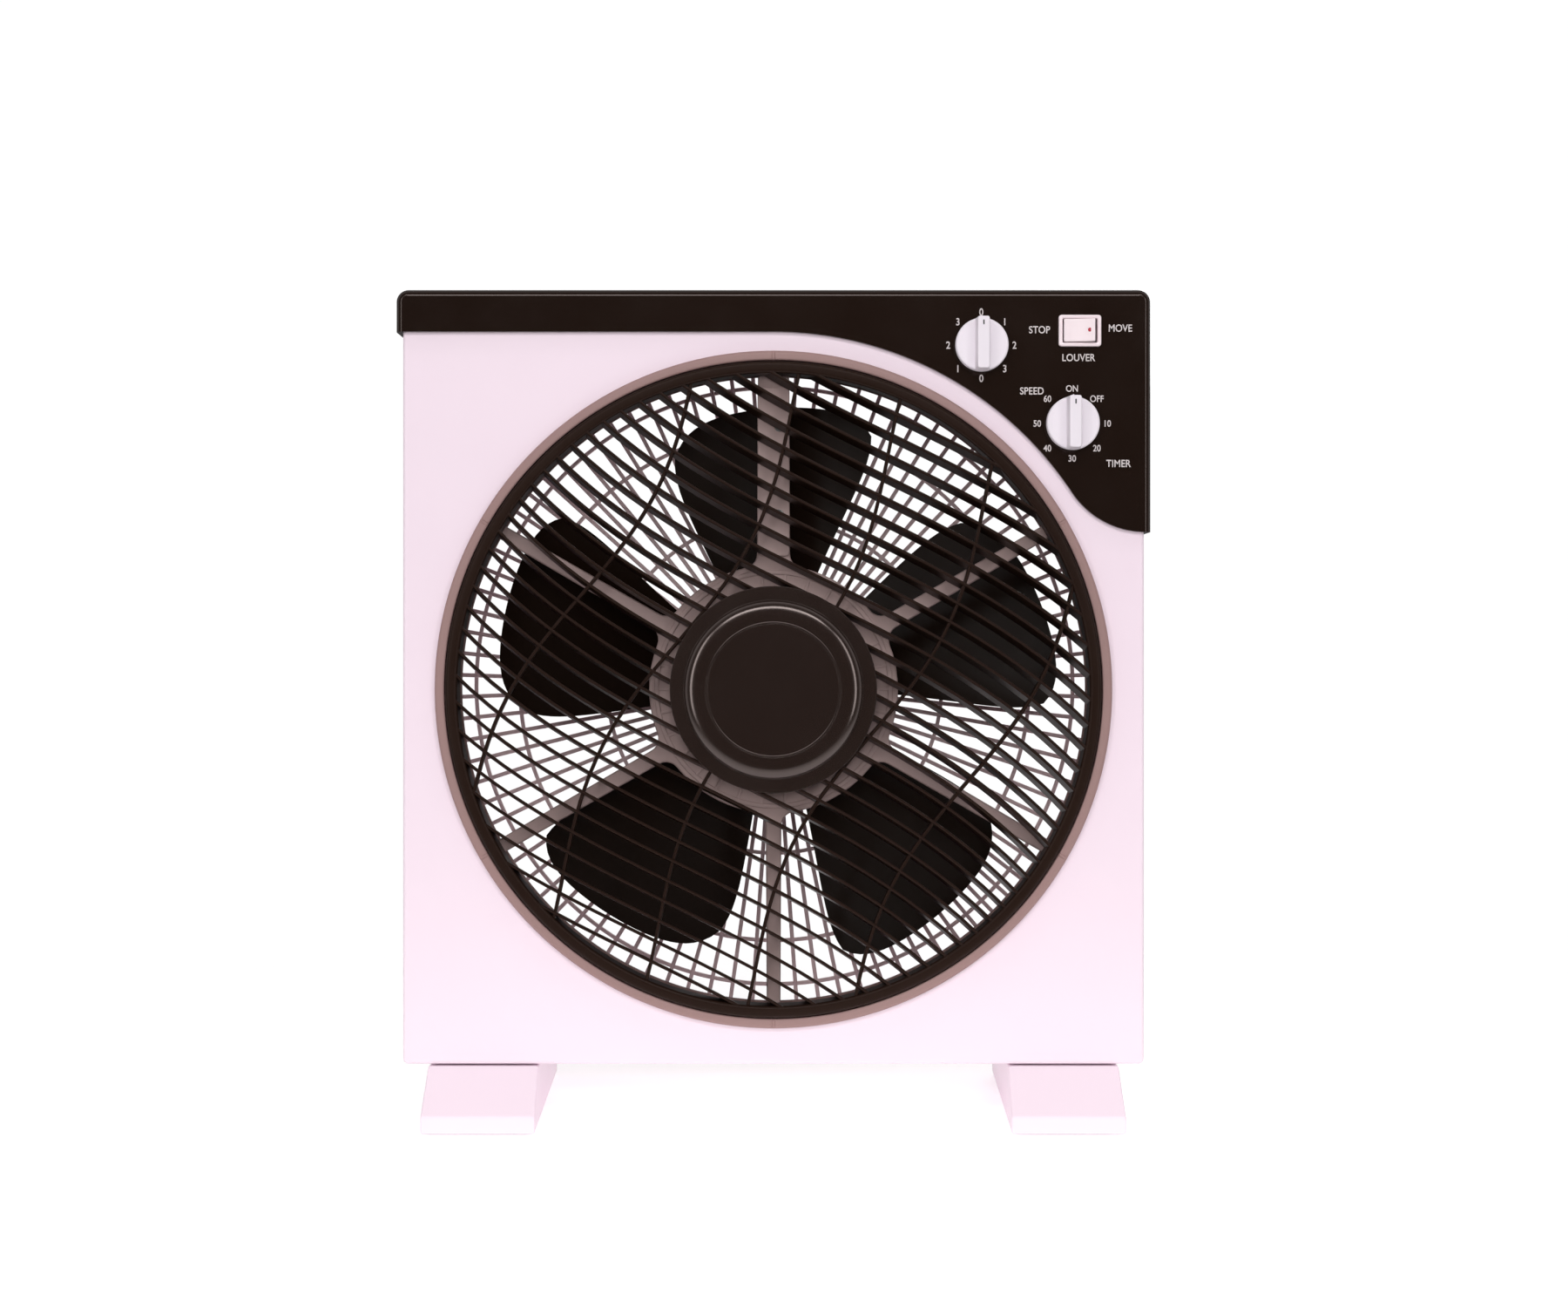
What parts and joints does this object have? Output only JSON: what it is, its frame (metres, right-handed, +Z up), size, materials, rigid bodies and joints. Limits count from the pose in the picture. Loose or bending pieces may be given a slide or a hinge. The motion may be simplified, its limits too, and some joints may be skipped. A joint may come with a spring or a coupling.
{
  "type": "box fan",
  "caption": "Box fan: square shell on splayed feet, bladed rotor behind a turning louver, ribbed rear grille, speed and timer dials and a rocker switch on a dark panel.",
  "frame": {"origin": "on the floor, midway between the feet, under the middle of the body", "axes": "+Z up, the front with the louver and the dials faces -Y, +X to the right as seen from the front"},
  "size_m": [0.372, 0.142, 0.412],
  "materials": {
    "shell_white": "satin moulded",
    "cover_black": "polished moulded",
    "guard_taupe": "satin moulded",
    "grille_taupe": "satin moulded",
    "louver_black": "satin moulded",
    "blade_black": "satin moulded",
    "dial_grey": "satin moulded",
    "rocker_white": "polished moulded",
    "plated_steel": "zinc plated",
    "bright_steel": "ground",
    "lamination_steel": "stacked laminations",
    "motor_bell_steel": "pressed, thin paint",
    "winding_copper": "varnished",
    "bush_bronze": "sintered",
    "lead_insulation": "smooth",
    "inner_plastic": "moulded",
    "timer_plastic": "moulded",
    "black_rubber": "moulded"
  },
  "bodies": {
    "housing": {"front_shell": "shell_white", "rear_shell": "shell_white", "top_cover": "cover_black", "cover_screws": "plated_steel", "shell_screws": "plated_steel", "guard": "guard_taupe", "guard_screws": "plated_steel", "arm_cover": "guard_taupe", "arm_cover_screws": "plated_steel", "louver_leads": "lead_insulation", "louver_motor": "bright_steel", "louver_motor_screws": "plated_steel", "stator_core": "lamination_steel", "motor_windings": "winding_copper", "motor_front_bell": "motor_bell_steel", "motor_rear_bell": "motor_bell_steel", "motor_bushes": "bush_bronze", "motor_bolts": "plated_steel", "motor_mount": "grille_taupe", "mount_screws": "plated_steel", "rear_grille": "grille_taupe", "grille_screws": "plated_steel", "speed_switch": "inner_plastic", "timer_case": "timer_plastic", "control_nuts": "plated_steel", "rocker_bezel": "rocker_white", "rocker_terminals": "bush_bronze", "capacitor": "inner_plastic", "capacitor_bracket": "plated_steel", "capacitor_screw": "plated_steel", "terminal_block": "timer_plastic", "block_screws": "plated_steel", "cord_inlet": "black_rubber", "foot_left": "shell_white", "foot_right": "shell_white", "foot_pads": "black_rubber", "foot_screws": "plated_steel"},
    "rotor": {"fan_blade": "blade_black", "blade_nut": "blade_black", "drive_pin": "bright_steel", "motor_shaft": "bright_steel", "rotor_core": "lamination_steel", "thrust_washers": "plated_steel"},
    "louver": {"louver_grille": "louver_black", "louver_cap": "louver_black", "louver_shaft": "bright_steel", "louver_screw": "plated_steel"},
    "speed_dial": {"speed_knob": "dial_grey", "speed_shaft": "bright_steel"},
    "timer_dial": {"timer_knob": "dial_grey", "timer_shaft": "bright_steel"},
    "rocker": {"rocker_button": "rocker_white"}
  },
  "joints": [
    {"name": "rotor_spin", "type": "hinge", "parent": "housing", "child": "rotor", "pos_m": [0, 0, 0.215], "axis": [0, 1, 0], "continuous": true},
    {"name": "louver_spin", "type": "hinge", "parent": "housing", "child": "louver", "pos_m": [0, 0, 0.215], "axis": [0, 1, 0], "continuous": true},
    {"name": "speed_turn", "type": "hinge", "parent": "housing", "child": "speed_dial", "pos_m": [0.1023, 0, 0.3842], "axis": [0, 1, 0], "continuous": true},
    {"name": "timer_turn", "type": "hinge", "parent": "housing", "child": "timer_dial", "pos_m": [0.147, 0, 0.3457], "axis": [0, 1, 0], "range_deg": [0, 315]},
    {"name": "rocker_tilt", "type": "hinge", "parent": "housing", "child": "rocker", "pos_m": [0.1507, -0.051, 0.3914], "axis": [0, 0, 1], "range_deg": [0, 15]}
  ]
}
